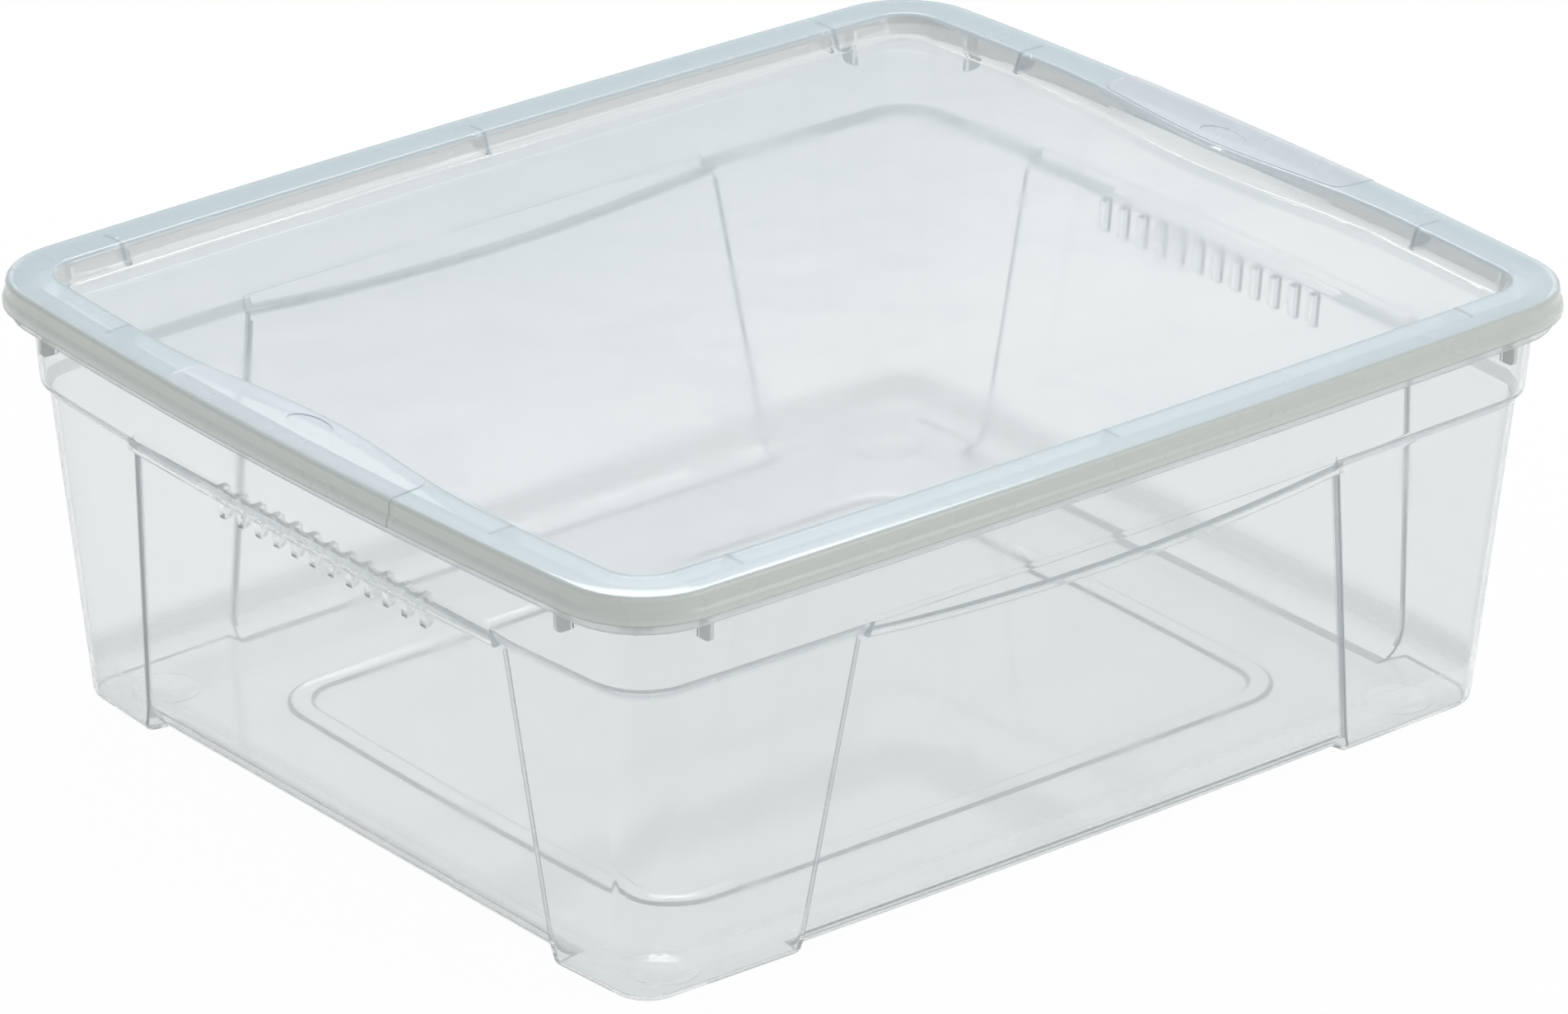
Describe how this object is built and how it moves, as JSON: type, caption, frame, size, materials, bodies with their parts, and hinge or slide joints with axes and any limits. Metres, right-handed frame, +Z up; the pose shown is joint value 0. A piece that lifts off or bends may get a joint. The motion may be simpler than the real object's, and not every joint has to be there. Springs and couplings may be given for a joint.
{
  "type": "storage box with lid",
  "caption": "Clear stackable storage box: drafted walls with recessed panels between corner posts, a comb of short fins inside each short side, and a lift-off lid with a stacking recess.",
  "frame": {"origin": "on the ground under the middle of the box", "axes": "+X along the long sides, +Y along the short sides, +Z up through the lid"},
  "size_m": [0.4014, 0.3408, 0.1471],
  "materials": {
    "box_plastic": "clear, smooth, glossy",
    "lid_plastic": "clear, slightly milky, glossy"
  },
  "bodies": {
    "box": {"box": "box_plastic"},
    "lid": {"lid": "lid_plastic"}
  },
  "joints": [
    {"name": "lid_lift", "type": "slide", "parent": "box", "child": "lid", "axis": [0, 0, 1], "range_m": [0, 0.08]}
  ]
}
